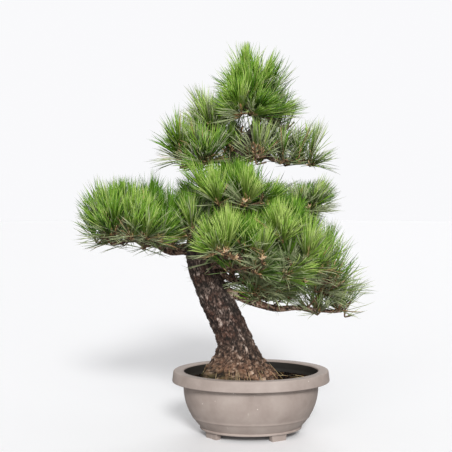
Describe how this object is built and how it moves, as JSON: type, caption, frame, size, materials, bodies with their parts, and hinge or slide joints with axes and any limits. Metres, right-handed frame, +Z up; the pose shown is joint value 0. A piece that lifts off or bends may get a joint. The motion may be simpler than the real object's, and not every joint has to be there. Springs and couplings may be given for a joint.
{
  "type": "bonsai tree in a training pot",
  "caption": "Japanese black pine bonsai with a leaning, curving trunk, rounded pads of long needles on its boughs, and an oval moulded plastic training pot filled with soil.",
  "frame": {"origin": "on the ground, under the middle of the whole plant's bounding box, level with the undersides of the pot's feet", "axes": "+X to the right as the picture shows the plant, +Y away from the viewer, +Z up"},
  "size_m": [0.6907, 0.4345, 0.9016],
  "materials": {
    "bark": "matte",
    "needles": "satin",
    "pot_plastic": "matte",
    "potting_soil": "matte"
  },
  "bodies": {
    "root": {"pot": "pot_plastic", "soil": "potting_soil", "trunk": "bark", "bough_apex_right": "bark", "bough_back_lower": "bark", "bough_back_middle": "bark", "bough_back_right": "bark", "bough_back_upper": "bark", "bough_centre_front": "bark", "bough_left": "bark", "bough_left_inner": "bark", "bough_lower_front": "bark", "bough_lower_inner": "bark", "bough_lower_right": "bark", "bough_lower_right_front": "bark", "bough_middle_right": "bark", "bough_middle_right_front": "bark", "bough_upper_front": "bark", "bough_upper_left": "bark", "bough_upper_left_inner": "bark", "bough_upper_right": "bark", "foliage_apex": "needles", "foliage_apex_right": "needles", "foliage_back_lower": "needles", "foliage_back_middle": "needles", "foliage_back_right": "needles", "foliage_back_upper": "needles", "foliage_centre_front": "needles", "foliage_left": "needles", "foliage_left_inner": "needles", "foliage_lower_front": "needles", "foliage_lower_inner": "needles", "foliage_lower_right": "needles", "foliage_lower_right_front": "needles", "foliage_middle_right": "needles", "foliage_middle_right_front": "needles", "foliage_upper_front": "needles", "foliage_upper_left": "needles", "foliage_upper_left_inner": "needles", "foliage_upper_right": "needles"}
  },
  "joints": []
}
